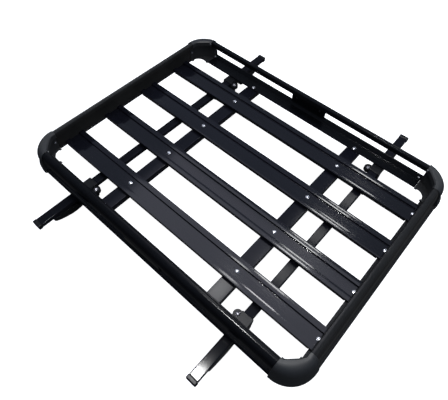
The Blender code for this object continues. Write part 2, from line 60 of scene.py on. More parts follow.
# Slats: a hat section with a sunk channel between two crowned ridges
SLAT_HALF_WIDTH = 0.041
SLAT_HALF_LENGTH = HALF_LENGTH + 0.015
SLAT_DEPTH = 0.015
SLAT_WALL = 0.002
CHANNEL_HALF_WIDTH = 0.021
CHANNEL_FLOOR = -0.007
CROWN_Y = 0.031                       # middle of a slat to the top of a ridge's crown
CROWN_RADIUS = 0.120
CROWN_SPREAD = 4.6                    # degrees that a crown turns to either side of its top
SLAT_FLANGE_SHORT = 0.002             # a slat's side flanges stop this far before the end ledge
SLAT_END_UNDERSIDE = -0.0092

# Rails
NOSE_CENTRE = (0.008, 0.046)
NOSE_RADII = (0.022, 0.030)
UPPER_RAIL_WALL = 0.0022
SIDE_OUTER = 0.035
SIDE_FLANGE = 0.026                   # how far a side rail's flange reaches inwards
FLANGE_THICKNESS = 0.003
FLANGE_TOP = -0.012
FLANGE_BOLT_Y = HALF_WIDTH - 0.015
END_OUTER = 0.044
END_WALL = 0.016
END_RAIL_WALL = 0.0025
LEDGE_TOP = -0.0095
LEDGE_THICKNESS = 0.003
LEDGE_EDGE = {1: -0.008, -1: 0.008}   # inner edge of the ledge at the front and at the rear
PLATE_LENGTH = 0.158
RIVET_X = 0.055
RIVET_PLACE = (0.022, 0.026)          # on a centre plate's inner face: outwards and up

# Corner caps
SEAM_X, SEAM_Y = 0.508, 0.352
CORNER_RADIUS = 0.050
CORNER_FULLNESS = 0.010               # extra width inwards at the middle of a corner
CORNER_STEPS = 28
CAP_PROUD = 0.002
CAP_BULGE = 0.003                     # how much further a cap stands out at its widest
CAP_WALL = 0.014
CAP_TOP = 0.078
CAP_RIM = ((0.0, 0.0012), (0.0003, 0.0005), (0.0010, 0.0))   # from a seam: distance and inset

# Cross members and roof bars: half widths, half depths and walls
MEMBER_HALF_LENGTH = HALF_WIDTH + 0.010
MEMBER_HALF_WIDTH, MEMBER_HALF_DEPTH, MEMBER_WALL = 0.0265, 0.0125, 0.0025
BAR_HALF_WIDTH, BAR_HALF_DEPTH, BAR_WALL = 0.0165, 0.009, 0.002
BAR_CAP_LENGTH = 0.015
BAR_CAP_HALF_WIDTH, BAR_CAP_HALF_DEPTH = 0.0180, 0.0108
PLUG_HALF_WIDTH, PLUG_HALF_DEPTH, PLUG_LENGTH = 0.0135, 0.0060, 0.012
CLAMP_HALF_WIDTH, CLAMP_BOTTOM, CLAMP_CHAMFER = 0.0225, -0.0145, 0.003
CLAMP_LENGTH = 0.040
CLAMP_CLEARANCE = 0.0003

# Fastenings. A head is its radius, its height and its socket's radius
HOLE_RADIUS = 0.0035
SHANK_RADIUS = 0.003
DECK_BOLT_HEAD = (0.0070, 0.0040, 0.0022)
END_BOLT_HEAD = (0.0068, 0.0038, 0.0022)
CORNER_SCREW_HEAD = (0.0050, 0.0028, 0.0016)
RIVET_HEAD = (0.0048, 0.0022, 0.0)
END_BOLT_X = 0.5565

# Clamp feet, measured from where a foot's screw line meets its bar's middle
SCREW_SIDE = 0.0268                   # middle of the bar to the screw's axis
SLEEVE_HALF_WIDTH = 0.0208
SLEEVE_CHANNEL = (0.0169, 0.0094)     # half width and half depth of the way for the bar
EAR_RADIUS, EAR_DEPTH = 0.016, 0.012
SCREW_BORE, SCREW_RECESS = 0.0037, 0.0095
SCREW_RADIUS, SCREW_TIP = 0.003, -0.026
PIN_Y, PIN_Z = 0.096, -0.0215         # the jaw's pin: along the bar and up
PIN_RADIUS, PIN_BORE = 0.003, 0.0033
PIN_HALF_LENGTH = 0.0165
JAW_HALF_WIDTH = 0.017
TONGUE_HALF_WIDTH = 0.006
FORK_HALF_WIDTH = 0.0065
PAD_GROOVES = (0.033, 0.039, 0.045, 0.051, 0.057)
PAD_GROOVE_HALF_WIDTH = 0.001

# Light and camera
PANEL_HEIGHT = 2.0
CAMERA_PLACE = (0.54144, -0.69655, DECK_TOP + 1.15614)
CAMERA_TARGET = (0.04610, -0.11605, DECK_TOP)
CAMERA_ROLL = 1.7306                  # degrees
CAMERA_LENS, SENSOR_WIDTH = 32.3371, 36.0   # millimetres

SHARP_ANGLE = 32                      # degrees between faces above which an edge is drawn sharp
ENDS = (("front", 1), ("rear", -1))
SIDES = (("left", 1), ("right", -1))


# ---------------------------------------------------------------- materials

def surface(name, colour, roughness, metallic=0.0, specular=0.5, mottle=0.15, mottle_scale=9.0,
            grain=900.0, grain_height=0.00002, rough_spread=0.06, stretch=(1, 1, 1)):
    """A Principled surface with soft colour mottling, uneven roughness and a fine bumped grain.

    A stretch under 1 draws the whole pattern out along that axis.
    """
    mat = bpy.data.materials.new(name)
    mat.use_nodes = True
    nodes, links = mat.node_tree.nodes, mat.node_tree.links
    shader = nodes["Principled BSDF"]
    shader.inputs["Metallic"].default_value = metallic
    shader.inputs["Specular IOR Level"].default_value = specular
    coords = nodes.new("ShaderNodeTexCoord")
    mapping = nodes.new("ShaderNodeMapping")
    mapping.inputs["Scale"].default_value = stretch
    links.new(coords.outputs["Object"], mapping.inputs["Vector"])

    def noise(scale, detail, rough=0.5):
        node = nodes.new("ShaderNodeTexNoise")
        node.inputs["Scale"].default_value = scale
        node.inputs["Detail"].default_value = detail
        node.inputs["Roughness"].default_value = rough
        links.new(mapping.outputs["Vector"], node.inputs["Vector"])
        return node.outputs["Fac"]

    ramp = nodes.new("ShaderNodeValToRGB")
    dark, light = ramp.color_ramp.elements
    dark.position, dark.color = 0.35, (*[c * (1 - mottle) for c in colour], 1)
    light.position, light.color = 0.65, (*[min(1.0, c * (1 + mottle)) for c in colour], 1)
    links.new(noise(mottle_scale, 4.0), ramp.inputs["Fac"])
    links.new(ramp.outputs["Color"], shader.inputs["Base Color"])

    spread = nodes.new("ShaderNodeMapRange")
    spread.inputs["From Min"].default_value = 0.3
    spread.inputs["From Max"].default_value = 0.7
    spread.inputs["To Min"].default_value = max(0.02, roughness - rough_spread)
    spread.inputs["To Max"].default_value = min(1.0, roughness + rough_spread)
    links.new(noise(mottle_scale * 3.1, 5.0, 0.6), spread.inputs["Value"])
    links.new(spread.outputs["Result"], shader.inputs["Roughness"])

    bump = nodes.new("ShaderNodeBump")
    bump.inputs["Distance"].default_value = grain_height
    bump.inputs["Strength"].default_value = 0.6
    links.new(noise(grain, 3.0), bump.inputs["Height"])
    links.new(bump.outputs["Normal"], shader.inputs["Normal"])
    return mat


COAT = surface("black_powder_coat", (0.0080, 0.0084, 0.0128), 0.10, specular=0.42, grain=500.0,
               grain_height=0.0000003, rough_spread=0.02, stretch=(0.04, 1, 1))
BAR_COAT = surface("black_bar_coat", (0.0100, 0.0105, 0.0140), 0.10, specular=0.045, grain=500.0,
                   grain_height=0.0000005, rough_spread=0.015, stretch=(1, 0.04, 1))
MEMBER_COAT = surface("black_member_coat", (0.0080, 0.0084, 0.0128), 0.10, specular=0.20,
                      grain=500.0, grain_height=0.0000005, rough_spread=0.015,
                      stretch=(1, 0.04, 1))
RAIL = surface("black_rail_coat", (0.0068, 0.0074, 0.0092), 0.17, specular=0.10, grain=700.0,
               grain_height=0.000003, rough_spread=0.04)
# The end rails share the other rails' black coat. This copy's lighter base colour is painted light,
# standing in for the light that falls on their inner faces.
END_RAIL = surface("end_rail_coat_painted_light", (0.0200, 0.0200, 0.0200), 0.20, specular=0.22,
                   grain=700.0, grain_height=0.000003, rough_spread=0.04)
CAP = surface("corner_moulding", (0.020, 0.022, 0.025), 0.52, specular=0.40, grain=1500.0,
              grain_height=0.00005, mottle=0.10)
MOULDING = surface("foot_moulding", (0.011, 0.0115, 0.013), 0.36, specular=0.14, grain=1300.0)
RUBBER = surface("pad_rubber", (0.010, 0.010, 0.010), 0.85, specular=0.30, grain=1600.0,
                 grain_height=0.00006)
ZINC = surface("bright_zinc", (0.66, 0.67, 0.71), 0.26, metallic=1.0, grain=2200.0,
               grain_height=0.00001, mottle=0.06, mottle_scale=120.0)
DULL_STEEL = surface("dull_zinc", (0.20, 0.20, 0.22), 0.38, metallic=1.0, grain=2000.0,
                     grain_height=0.00001, mottle=0.08, mottle_scale=120.0)
BLACK_STEEL = surface("black_oxide_steel", (0.07, 0.07, 0.08), 0.38, metallic=1.0, grain=1800.0,
                      grain_height=0.00001)


# ---------------------------------------------------------------- mesh helpers

def arc(centre, radii, start, end, steps):
    """Points along part of an ellipse, from one angle in degrees to another."""
    points = []
    for i in range(steps + 1):
        angle = math.radians(start + (end - start) * i / steps)
        points.append((centre[0] + radii[0] * math.cos(angle),
                       centre[1] + radii[1] * math.sin(angle)))
    return points


def filleted(points, radius=0.0006, steps=3):
    """The outline with its corners rounded. A point may carry its own radius as a third number."""
    least_turn = math.radians(16)
    outline = []
    for i, point in enumerate(points):
        here = Vector(point[:2])
        r = point[2] if len(point) > 2 else radius
        back = Vector(points[i - 1][:2]) - here
        ahead = Vector(points[(i + 1) % len(points)][:2]) - here
        turn = back.angle(-ahead) if back.length > 0 and ahead.length > 0 else 0
        if r <= 0 or turn < least_turn:
            outline.append(tuple(here))
            continue
        reach = min(r * math.tan(turn / 2), back.length * 0.45, ahead.length * 0.45)
        start = here + back.normalized() * reach
        end = here + ahead.normalized() * reach
        for k in range(steps + 1):
            t = k / steps
            outline.append(tuple((1 - t) ** 2 * start + 2 * t * (1 - t) * here + t ** 2 * end))
    return outline


def rectangle(half_width, half_height):
    return [(half_width, half_height), (-half_width, half_height),
            (-half_width, -half_height), (half_width, -half_height)]


def weld(mesh, distance=0.000005):
    work = bmesh.new()
    work.from_mesh(mesh)
    bmesh.ops.remove_doubles(work, verts=work.verts, dist=distance)
    bmesh.ops.recalc_face_normals(work, faces=work.faces)
    work.to_mesh(mesh)
    work.free()


def evaluated_mesh(obj):
    """The object's mesh as its modifiers leave it. The object itself is removed."""
    mesh = bpy.data.meshes.new_from_object(
        obj.evaluated_get(bpy.context.evaluated_depsgraph_get()))
    bpy.data.objects.remove(obj, do_unlink=True)
    return mesh


def linked(name, data):
    """A new object of this data, in the scene."""
    obj = bpy.data.objects.new(name, data)
    bpy.context.scene.collection.objects.link(obj)
    return obj


def extruded(outlines, length):
    """A mesh of a flat outline, with any further outlines as holes, centred along Z."""
    curve = bpy.data.curves.new("outline", "CURVE")
    curve.dimensions = "2D"
    curve.fill_mode = "BOTH"
    curve.extrude = length / 2
    for outline in outlines:
        spline = curve.splines.new("POLY")
        spline.points.add(len(outline) - 1)
        for point, (x, y) in zip(spline.points, outline):
            point.co = (x, y, 0, 1)
        spline.use_cyclic_u = True
    mesh = evaluated_mesh(linked("outline", curve))
    bpy.data.curves.remove(curve)
    weld(mesh)
    return mesh


def from_bmesh(work):
    mesh = bpy.data.meshes.new("mesh")
    work.to_mesh(mesh)
    work.free()
    return mesh


def box(low, high):
    work = bmesh.new()
    low, high = Vector(low), Vector(high)
    bmesh.ops.create_cube(work, size=1, matrix=Matrix.Translation((low + high) / 2)
                          @ Matrix.Diagonal((*(high - low), 1)))
    return from_bmesh(work)


def cylinder(radius, bottom, top, sides=32):
    work = bmesh.new()
    bmesh.ops.create_cone(work, cap_ends=True, segments=sides, radius1=radius, radius2=radius,
                          depth=top - bottom, matrix=at(0, 0, (bottom + top) / 2))
    return from_bmesh(work)


def turned(profile, steps=32):
    """A closed mesh from (radius, height) points, top to bottom, turned about Z."""
    work = bmesh.new()
    rings = []
    for r, z in profile:
        if r == 0:
            rings.append([work.verts.new((0, 0, z))])
        else:
            rings.append([work.verts.new((r * math.cos(2 * math.pi * i / steps),
                                          r * math.sin(2 * math.pi * i / steps), z))
                          for i in range(steps)])
    for a, b in zip(rings, rings[1:]):
        for i in range(steps):
            j = (i + 1) % steps
            if len(a) == 1:
                work.faces.new((a[0], b[i], b[j]))
            elif len(b) == 1:
                work.faces.new((a[i], b[0], a[j]))
            else:
                work.faces.new((a[i], b[i], b[j], a[j]))
    bmesh.ops.recalc_face_normals(work, faces=work.faces)
    return from_bmesh(work)


def swept(stations):
    """A closed mesh through a list of rings of points, each ring the same length."""
    work = bmesh.new()
    rings = [[work.verts.new(p) for p in ring] for ring in stations]
    count = len(rings[0])
    for a, b in zip(rings, rings[1:]):
        for i in range(count):
            j = (i + 1) % count
            work.faces.new((a[i], a[j], b[j], b[i]))
    work.faces.new(rings[0])
    work.faces.new(rings[-1])
    bmesh.ops.recalc_face_normals(work, faces=work.faces)
    return from_bmesh(work)


def combined(target, others, operation):
    """The mesh after Boolean steps with each of the other meshes."""
    obj = linked("target", target)
    tools = []
    for mesh in others:
        tools.append(linked("tool", mesh))
        modifier = obj.modifiers.new("step", "BOOLEAN")
        modifier.operation = operation
        modifier.solver = "EXACT"
        modifier.object = tools[-1]
    mesh = evaluated_mesh(obj)
    for tool in tools:
        bpy.data.objects.remove(tool, do_unlink=True)
    weld(mesh)
    return mesh


def cut(target, *tools):
    return combined(target, tools, "DIFFERENCE")


def joined(target, *tools):
    return combined(target, tools, "UNION")


def bevelled(mesh, width, segments=2, angle=40):
    """The mesh with its sharp edges rounded."""
    obj = linked("edges", mesh)
    modifier = obj.modifiers.new("edges", "BEVEL")
    modifier.width = width
    modifier.segments = segments
    modifier.limit_method = "ANGLE"
    modifier.angle_limit = math.radians(angle)
    return evaluated_mesh(obj)


def moved(mesh, matrix):
    mesh.transform(matrix)
    if matrix.determinant() < 0:
        mesh.flip_normals()
    return mesh


def at(x, y, z):
    return Matrix.Translation((x, y, z))


def turn_about(axis, quarters):
    """A turn by quarters of a circle about X, Y or Z."""
    return Matrix.Rotation(quarters * math.pi / 2, 4, axis)


def facing(y):
    """The turn for a piece drawn for the left side, where y is 1, that puts it on either side."""
    return turn_about("Z", 0 if y > 0 else 2)


def outward(heading, offset):
    """Puts a section drawn in XY on the side that heading faces: its X outwards and its Y up."""
    place = (math.cos(heading) * offset, math.sin(heading) * offset, DECK_TOP)
    return at(*place) @ Matrix.Rotation(heading, 4, "Z") @ turn_about("X", 1)


def slat_y(number):
    """The middle of a slat, counted from 0."""
    return (number - (SLAT_COUNT - 1) / 2) * PITCH


def bolt_hole(x, y, z):
    """A cutter for a bolt's hole through the sheet whose top is at z."""
    return moved(cylinder(HOLE_RADIUS, -0.006, 0.004, 16), at(x, y, z))


def show(name, mesh, material, body="basket", nodes=()):
    """Adds a piece, riding on its body and standing for its CAD nodes."""
    piece = linked(name, mesh)
    mesh.materials.clear()
    mesh.materials.append(material)
    mesh.shade_smooth()
    mesh.set_sharp_from_angle(angle=math.radians(SHARP_ANGLE))
    flatten = piece.modifiers.new("flat faces stay flat", "WEIGHTED_NORMAL")
    flatten.keep_sharp = True
    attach(piece, body)
    if nodes:
        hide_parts(*nodes)


# ---------------------------------------------------------------- rail sections

def nose(proud=0.0, bulge=0.0):
    """The rails' rounded outer side, standing proud by this much, from its top to its outermost."""
    radii = (NOSE_RADII[0] + proud + bulge, NOSE_RADII[1] + proud)
    return arc(NOSE_CENTRE, radii, 90, 0, 18)


def upper_section():
    outside = [(0, 0.0555, 0.0012), (0, 0.0725, 0.0006), (0.003, 0.0757, 0.0010), *nose(),
               (0.0295, 0.0430, 0.0006), (0.0260, 0.0405, 0.0010), (0.003, 0.0520, 0.0012)]
    wall = UPPER_RAIL_WALL
    hollow = [(wall, 0.0565), (wall, 0.0705), *nose(proud=-wall), (0.0253, 0.0432),
              (0.0042, 0.0544)]
    return [filleted(outside), hollow]


def lower_section():
    bottom, top = -SLAT_DEPTH, -SLAT_DEPTH + FLANGE_THICKNESS
    groove = top - 0.0008
    outside = [(-SIDE_FLANGE, bottom, 0.0008), (-SIDE_FLANGE, top, 0.0010),
               (0.0060, top, 0.0003), (0.0064, groove, 0.0002), (0.0076, groove, 0.0002),
               (0.0080, top, 0.0003), (0.0140, top, 0.0015),
               (0.0270, 0.0020, 0.0010), (0.0295, 0.0030, 0.0010), (0.0325, 0.0010, 0.0010),
               (SIDE_OUTER, -0.0040, 0.0012), (SIDE_OUTER, -0.0090, 0.0012),
               (0.0335, -0.0130, 0.0010), (0.0310, bottom, 0.0010)]
    hollow = [(0.0175, -0.0125), (0.0280, -0.0012), (0.0298, 0.0), (0.0310, -0.0008),
              (0.0326, -0.0046), (0.0326, -0.0086), (0.0316, -0.0125)]
    return [filleted(outside), hollow]


def end_section(ledge_edge):
    bottom = LEDGE_TOP - LEDGE_THICKNESS
    outside = [(ledge_edge, bottom, 0.0008), (ledge_edge, LEDGE_TOP, 0.0008),
               (END_WALL, LEDGE_TOP, 0.0010), (END_WALL, 0.0450, 0.0020),
               (0, 0.0555, 0.0020), (0, 0.0725, 0.0006), (0.003, 0.0757, 0.0010), *nose(),
               (0.0315, 0.0350, 0), (0.0360, 0.0150, 0.0008), (0.0335, 0.0115, 0.0006),
               (0.0335, 0.0075, 0.0006), (0.0420, 0.0040, 0.0010),
               (END_OUTER, 0.0000, 0.0010), (END_OUTER, -0.0100, 0.0012),
               (0.0415, bottom, 0.0008)]
    wall = END_RAIL_WALL
    hollow = [(END_WALL + wall, -0.0098), (END_WALL + wall, 0.0455), (wall, 0.0567),
              (wall, 0.0710), *nose(proud=-wall), (0.0330, 0.0170), (0.0310, 0.0130),
              (0.0310, 0.0060), (0.0400, 0.0005), (0.0400, -0.0098)]
    return [filleted(outside), hollow]


def cap_section(turn, inset):
    """The corner cap's section, from the side rail (turn 0) to the end rail (turn 1).

    It is drawn in by inset at a seam so that its rim is rounded.
    """
    inner, top, bottom = -CAP_PROUD + inset, CAP_TOP - inset, -SLAT_DEPTH + inset * 0.5
    side_lip, end_lip = SIDE_OUTER + CAP_PROUD + CAP_BULGE, END_OUTER + CAP_PROUD
    lip = side_lip + (end_lip - side_lip) * turn - inset
    wall = CAP_WALL + inset * 0.5
    points = [(wall, bottom), (wall, 0.047 - inset * 0.3), (inner, 0.056),
              (inner, 0.0735 - inset * 0.5), (0.0015, top - 0.0006),
              *nose(proud=CAP_PROUD - inset, bulge=CAP_BULGE),
              (0.0365 + 0.001 * turn - inset, 0.028), (lip, 0.006), (lip, -0.010),
              (lip - 0.0025, -0.0135), (lip - 0.006, bottom)]
    fullness = CORNER_FULLNESS * math.sin(math.pi * turn)
    widest = max(out for out, up in points)
    return [(out - fullness * (1 - max(out, 0) / widest), up) for out, up in points]


# ---------------------------------------------------------------- rails, plates and caps

def side_rails():
    plate = filleted([(0.022, -0.0027), (0.027, 0.0027), (0.0292, 0.0034), (0.030, 0.0034),
                      (0.030, 0.0400), (0.026, 0.0401), (0.022, 0.0421)], 0.0003)
    length = 2 * (SEAM_X - GAP)
    for side, y in SIDES:
        place = outward(y * math.pi / 2, HALF_WIDTH)
        show(f"upper_rail_{side}", moved(extruded(upper_section(), length), place), RAIL,
             nodes=[f"upper_side_rail_{side}"])
        rail = moved(extruded(lower_section(), length), place)
        holes = [bolt_hole(x, y * FLANGE_BOLT_Y, DECK_TOP + FLANGE_TOP)
                 for x in (-MEMBER_X, MEMBER_X)]
        show(f"lower_rail_{side}", cut(rail, *holes), RAIL,
             nodes=[f"lower_side_rail_{side}"])
        show(f"centre_plate_piece_{side}", moved(extruded([plate], PLATE_LENGTH), place), RAIL,
             nodes=[f"centre_plate_{side}"])


def end_rails():
    for end, x in ENDS:
        place = outward(0 if x > 0 else math.pi, HALF_LENGTH)
        rail = moved(extruded(end_section(LEDGE_EDGE[x]), 2 * (SEAM_Y - GAP)), place)
        # The end rails take the lightened coat, whose brighter base colour paints in the light
        # falling on them.
        show(f"end_rail_piece_{end}", rail, END_RAIL, nodes=[f"end_rail_{end}"])


def cap_path():
    """Places along a corner cap's run: origin, outward angle, turn from 0 to 1 and seam inset."""
    centre = Vector((HALF_LENGTH - CORNER_RADIUS, HALF_WIDTH - CORNER_RADIUS, 0))
    stations = [(Vector((SEAM_X + step, HALF_WIDTH, 0)), math.pi / 2, 0.0, inset)
                for step, inset in CAP_RIM]
    for i in range(1, CORNER_STEPS + 1):
        angle = math.pi / 2 * (1 - i / CORNER_STEPS)
        point = centre + CORNER_RADIUS * Vector((math.cos(angle), math.sin(angle), 0))
        stations.append((point, angle, i / CORNER_STEPS, 0.0))
    stations += [(Vector((HALF_LENGTH, SEAM_Y + step, 0)), 0.0, 1.0, inset)
                 for step, inset in reversed(CAP_RIM)]
    return stations


def corner_ledge(ledge_edge):
    """The flat ledge inside a corner cap, with a tab at each seam."""
    side_edge, end_edge = HALF_WIDTH - SIDE_FLANGE, HALF_LENGTH + ledge_edge
    tab, side_tab, end_tab, radius, overlap = 0.004, 0.010, 0.008, 0.030, CAP_WALL + 0.004
    inner = arc((end_edge - radius, side_edge - radius), (radius, radius), 90, 0, 16)
    outer = arc((HALF_LENGTH - CORNER_RADIUS, HALF_WIDTH - CORNER_RADIUS),
                (CORNER_RADIUS + overlap,) * 2, 0, 90, 16)
    outline = [(SEAM_X, side_edge - tab), (SEAM_X + side_tab, side_edge - tab),
               (SEAM_X + side_tab, side_edge), *inner, (end_edge, SEAM_Y + end_tab),
               (end_edge - tab, SEAM_Y + end_tab), (end_edge - tab, SEAM_Y),
               (HALF_LENGTH + overlap, SEAM_Y), *outer]
    return moved(extruded([outline], LEDGE_THICKNESS), at(0, 0, LEDGE_THICKNESS / 2 - SLAT_DEPTH))


def corner_mesh(ledge_edge):
    stations = []
    for origin, angle, turn, inset in cap_path():
        out = Vector((math.cos(angle), math.sin(angle), 0))
        stations.append([origin + out * a + Vector((0, 0, z))
                         for a, z in cap_section(turn, inset)])
    return joined(swept(stations), corner_ledge(ledge_edge))


def corner_caps():
    for end, x in ENDS:
        pattern = corner_mesh(LEDGE_EDGE[x])
        for side, y in SIDES:
            mesh = moved(pattern.copy(), at(0, 0, DECK_TOP) @ Matrix.Diagonal((x, y, 1, 1)))
            show(f"corner_{end}_{side}", mesh, CAP,
                 nodes=[f"corner_cap_{end}_{side}"])


# ---------------------------------------------------------------- slats, members and fastenings

def slat_section():
    edge, wall, inner = SLAT_HALF_WIDTH, SLAT_WALL, CHANNEL_HALF_WIDTH
    underside = -wall - 0.0014
    crown = arc((CROWN_Y, -CROWN_RADIUS), (CROWN_RADIUS, CROWN_RADIUS),
                90 + CROWN_SPREAD, 90 - CROWN_SPREAD, 10)
    right = [(inner - 0.0015, CHANNEL_FLOOR, 0.0008), (inner, -0.0018, 0.0005),
             *[(y, z, 0) for y, z in crown],
             (edge, -0.0020, 0.0008), (edge, -SLAT_DEPTH, 0.0004),
             (edge - wall, -SLAT_DEPTH, 0.0004), (edge - wall, underside, 0.0006),
             (inner + wall, underside, 0.0004), (inner + 0.0005, CHANNEL_FLOOR - wall, 0.0010)]
    left = [(-y, z, r) for y, z, r in reversed(right)]
    return [filleted(right + left)]


def slats():
    """The slats, each with its side flanges cut short at both ends and a hole over each member."""
    beyond = 0.01
    for number in range(SLAT_COUNT):
        y = slat_y(number)
        mesh = moved(extruded(slat_section(), 2 * SLAT_HALF_LENGTH),
                     at(0, y, DECK_TOP) @ turn_about("Z", 1) @ turn_about("X", 1))
        tools = []
        for x in (-1, 1):
            low, high = sorted((x * (HALF_LENGTH + LEDGE_EDGE[x] - SLAT_FLANGE_SHORT),
                                x * (SLAT_HALF_LENGTH + beyond)))
            tools.append(box((low, y - SLAT_HALF_WIDTH - beyond, DECK_TOP - SLAT_DEPTH - beyond),
                             (high, y + SLAT_HALF_WIDTH + beyond, DECK_TOP + SLAT_END_UNDERSIDE)))
            tools.append(bolt_hole(x * MEMBER_X, y, DECK_TOP + CHANNEL_FLOOR))
        show(f"slat_piece_{number + 1}", cut(mesh, *tools), COAT,
             nodes=[f"slat_{number + 1}"])


def tube(half_width, half_depth, wall, radius, length):
    outer = filleted(rectangle(half_width, half_depth), radius, 4)
    inner = filleted(rectangle(half_width - wall, half_depth - wall), radius / 2)
    return extruded([outer, inner], length)


def cross_members():
    z = DECK_TOP - SLAT_DEPTH - GAP - MEMBER_HALF_DEPTH
    length = 2 * MEMBER_HALF_LENGTH
    for end, x in ENDS:
        mesh = tube(MEMBER_HALF_WIDTH, MEMBER_HALF_DEPTH, MEMBER_WALL, 0.0022, length)
        show(f"cross_member_piece_{end}", moved(mesh, at(x * MEMBER_X, 0, z) @ turn_about("X", 1)),
             MEMBER_COAT, nodes=[f"cross_member_{end}"])


def bolt_head(radius, height, socket):
    """A pan head with a washer rim and, if socket isn't 0, a hexagonal socket of that radius."""
    shape = ((0, 1), (0.45, 0.97), (0.68, 0.86), (0.84, 0.66), (0.92, 0.40), (0.94, 0.22),
             (1, 0.18), (1, 0), (0, 0))
    head = turned([(radius * across, height * up) for across, up in shape], 28)
    if socket:
        head = cut(head, cylinder(socket, height * 0.45, height * 1.5, 6))
    return head


def bolt(shank_end):
    return joined(bolt_head(*DECK_BOLT_HEAD), cylinder(SHANK_RADIUS, shank_end, 0.001, 20))


def deck_bolts():
    """Bolts down through the slats' channels and through the side rails' flanges."""
    sunk = 0.0002
    for end, x in ENDS:
        for number in range(SLAT_COUNT):
            place = at(x * MEMBER_X, slat_y(number), DECK_TOP + CHANNEL_FLOOR + GAP)
            show(f"slat_bolt_piece_{end}_{number + 1}", moved(bolt(-0.014), place), ZINC,
                 nodes=[f"slat_bolt_{end}_{number + 1}"])
            if end == "front":
                place = at(END_BOLT_X, slat_y(number), DECK_TOP + CHANNEL_FLOOR - sunk)
                show(f"slat_end_bolt_{number + 1}", moved(bolt_head(*END_BOLT_HEAD), place), ZINC)
        for side, y in SIDES:
            place = at(x * MEMBER_X, y * FLANGE_BOLT_Y, DECK_TOP + FLANGE_TOP + GAP)
            show(f"rail_bolt_piece_{end}_{side}", moved(bolt(-0.010), place), ZINC,
                 nodes=[f"rail_bolt_{end}_{side}"])


def corner_screws():
    """Three inward-facing screws on each corner cap: two at its side rail, one at its end rail."""
    spots = (("upper", 0.5125, HALF_WIDTH - CAP_PROUD, 0.066),
             ("lower", 0.4990, HALF_WIDTH + 0.0140, 0.0),
             ("end", HALF_LENGTH + CAP_WALL, 0.3600, 0.0225))
    for end, x in ENDS:
        for side, y in SIDES:
            for label, along, across, up in spots:
                turn = turn_about("Y", -x) if label == "end" else turn_about("X", y)
                place = at(x * along, y * across, DECK_TOP + up) @ turn
                show(f"corner_screw_{label}_{end}_{side}",
                     moved(bolt_head(*CORNER_SCREW_HEAD), place), ZINC)


def rivets():
    out, up = RIVET_PLACE
    for side, y in SIDES:
        for number, x in enumerate((-RIVET_X, RIVET_X)):
            place = at(x, y * (HALF_WIDTH + out), DECK_TOP + up) @ turn_about("X", y)
            show(f"rivet_{side}_{number + 1}", moved(bolt_head(*RIVET_HEAD), place), BLACK_STEEL)


# ---------------------------------------------------------------- roof bars

def bar_cap():
    """A bar's end cap, drawn for a left end: its head past the bar and its plug inside."""
    start, overlap = BAR_TIP - BAR_CAP_LENGTH, 0.005
    head = box((-BAR_CAP_HALF_WIDTH, start, -BAR_CAP_HALF_DEPTH),
               (BAR_CAP_HALF_WIDTH, BAR_TIP, BAR_CAP_HALF_DEPTH))
    plug = box((-PLUG_HALF_WIDTH, start - PLUG_LENGTH, -PLUG_HALF_DEPTH),
               (PLUG_HALF_WIDTH, start + overlap, PLUG_HALF_DEPTH))
    return joined(bevelled(head, 0.004, 5), plug)


def bar_clamp():
    """A ring round a bar, which fills the height between the bar and the slat above it."""
    top, edge, bottom = BAR_DROP - SLAT_DEPTH - GAP, CLAMP_HALF_WIDTH, CLAMP_BOTTOM
    chamfer = radius = CLAMP_CHAMFER
    ring = filleted([(edge, top, 0.0008), (-edge, top, 0.0008),
                     (-edge, bottom + chamfer, radius), (-edge + chamfer, bottom, radius),
                     (edge - chamfer, bottom, radius), (edge, bottom + chamfer, radius)])
    opening = rectangle(BAR_HALF_WIDTH + CLAMP_CLEARANCE, BAR_HALF_DEPTH + CLAMP_CLEARANCE)
    return bevelled(extruded([ring, opening], CLAMP_LENGTH), 0.0008)


def roof_bars():
    length = 2 * (BAR_TIP - BAR_CAP_LENGTH - GAP)
    outer_slat = slat_y(SLAT_COUNT - 1)
    for end, x in ENDS:
        bar = tube(BAR_HALF_WIDTH, BAR_HALF_DEPTH, BAR_WALL, 0.003, length)
        show(f"roof_bar_piece_{end}", moved(bar, at(x * BAR_X, 0, BAR_Z) @ turn_about("X", 1)),
             BAR_COAT, nodes=[f"roof_bar_{end}"])
        for side, y in SIDES:
            show(f"bar_cap_piece_{end}_{side}",
                 moved(bar_cap(), at(x * BAR_X, 0, BAR_Z) @ facing(y)), MOULDING,
                 nodes=[f"bar_cap_{end}_{side}"])
            place = at(x * BAR_X, y * outer_slat, BAR_Z) @ turn_about("X", 1)
            show(f"bar_clamp_piece_{end}_{side}", moved(bar_clamp(), place), MOULDING,
                 nodes=[f"bar_clamp_{end}_{side}"])


# ---------------------------------------------------------------- clamp feet

def side_profile(outline, half_width):
    """An outline in (outwards, up), extruded across the bar."""
    along_y = Matrix(((0, 0, 1, 0), (1, 0, 0, 0), (0, 1, 0, 0), (0, 0, 0, 1)))
    return moved(extruded([outline], 2 * half_width), along_y)


def on_screw(mesh, hand):
    return moved(mesh, at(hand * SCREW_SIDE, 0, 0))


def pin_hole():
    return moved(cylinder(PIN_BORE, -0.03, 0.03, 28), at(0, PIN_Y, PIN_Z) @ turn_about("Y", 1))


